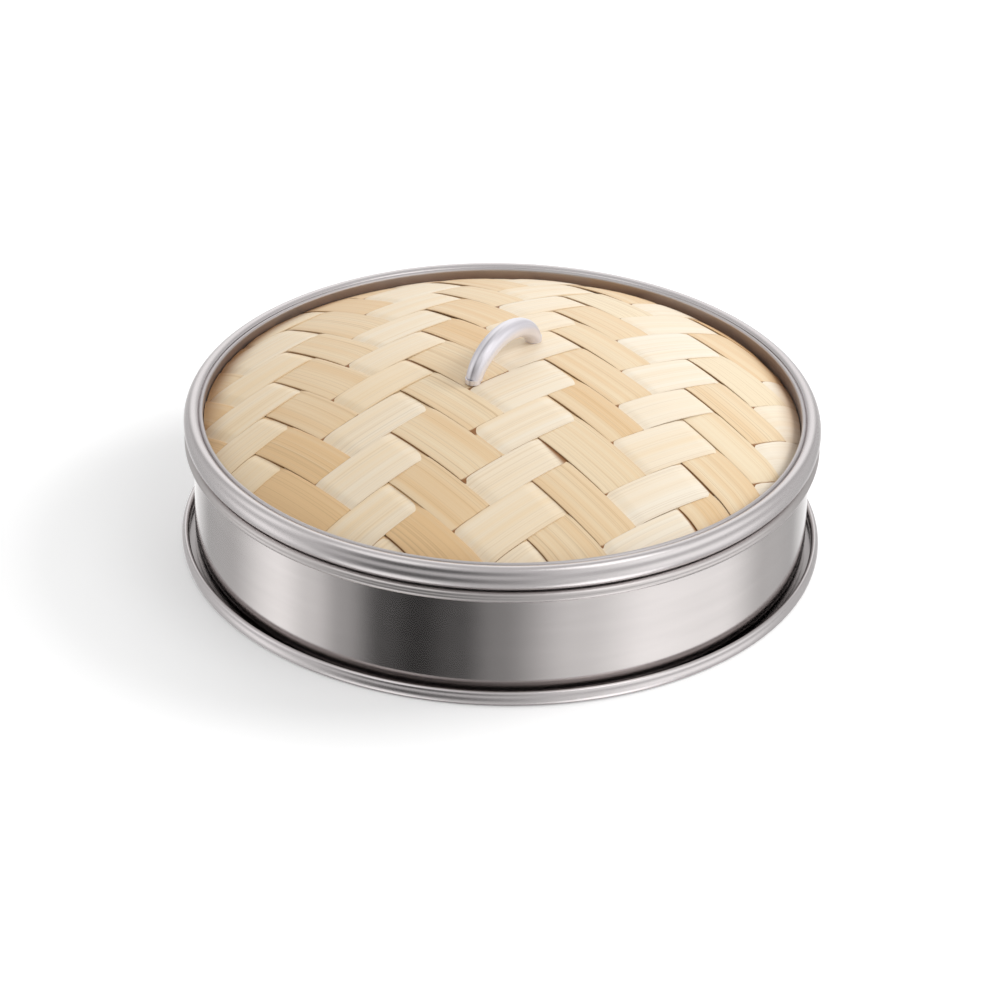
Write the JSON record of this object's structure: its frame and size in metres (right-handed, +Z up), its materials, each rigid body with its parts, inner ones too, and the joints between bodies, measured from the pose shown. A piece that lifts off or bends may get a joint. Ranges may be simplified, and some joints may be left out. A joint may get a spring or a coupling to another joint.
{
  "type": "steamer basket",
  "caption": "Round steel steamer tier with a bamboo slat grate, a domed lid of woven bamboo strips in a rolled steel ring, and a bent rod handle.",
  "frame": {"origin": "centre of the foot, on the surface it stands on", "axes": "+Z up along the round tier's axis; +X to the right and +Y to the back, with the handle's arch turned 56.5 degrees from +X"},
  "size_m": [0.202, 0.202, 0.0757],
  "materials": {
    "polished_steel": "polished rolled sheet",
    "fastener_steel": "plain drawn wire",
    "handle_aluminium": "polished bent rod",
    "bamboo_light": "planed pale bamboo strip",
    "bamboo_tan": "planed tan bamboo strip",
    "bamboo_lining": "split bamboo sheet",
    "bamboo_frame": "planed bamboo lath"
  },
  "bodies": {
    "tier": {"base_wall": "polished_steel", "rim_wire": "fastener_steel", "foot_ring": "polished_steel", "support_hoop": "bamboo_frame", "liner_hoop": "bamboo_frame", "bar_pins": "fastener_steel", "slat_pegs": "bamboo_frame", "cross_bar_1": "bamboo_frame", "cross_bar_2": "bamboo_frame", "cross_bar_3": "bamboo_frame", "slat_01": "bamboo_frame", "slat_02": "bamboo_frame", "slat_03": "bamboo_frame", "slat_04": "bamboo_frame", "slat_05": "bamboo_frame", "slat_06": "bamboo_frame", "slat_07": "bamboo_frame", "slat_08": "bamboo_frame", "slat_09": "bamboo_frame", "slat_10": "bamboo_frame", "slat_11": "bamboo_frame", "slat_12": "bamboo_frame", "slat_13": "bamboo_frame"},
    "lid": {"lid_ring": "polished_steel", "lid_hoop": "bamboo_frame", "lid_pins": "fastener_steel", "lid_lining": "bamboo_lining", "strip_across_01": "bamboo_light", "strip_across_02": "bamboo_light", "strip_across_03": "bamboo_light", "strip_across_04": "bamboo_light", "strip_across_05": "bamboo_light", "strip_across_06": "bamboo_light", "strip_across_07": "bamboo_light", "strip_across_08": "bamboo_light", "strip_across_09": "bamboo_light", "strip_across_10": "bamboo_light", "strip_across_11": "bamboo_light", "strip_across_12": "bamboo_light", "strip_across_13": "bamboo_light", "strip_down_01": "bamboo_tan", "strip_down_02": "bamboo_tan", "strip_down_03": "bamboo_tan", "strip_down_04": "bamboo_tan", "strip_down_05": "bamboo_tan", "strip_down_06": "bamboo_tan", "strip_down_07": "bamboo_tan", "strip_down_08": "bamboo_tan", "strip_down_09": "bamboo_tan", "strip_down_10": "bamboo_tan", "strip_down_11": "bamboo_tan", "strip_down_12": "bamboo_tan", "strip_down_13": "bamboo_tan", "backing_bar": "bamboo_frame", "handle": "handle_aluminium", "handle_washers": "fastener_steel"}
  },
  "joints": [
    {"name": "lid_lift", "type": "slide", "parent": "tier", "child": "lid", "axis": [0, 0, 1], "range_m": [0, 0.1]}
  ]
}
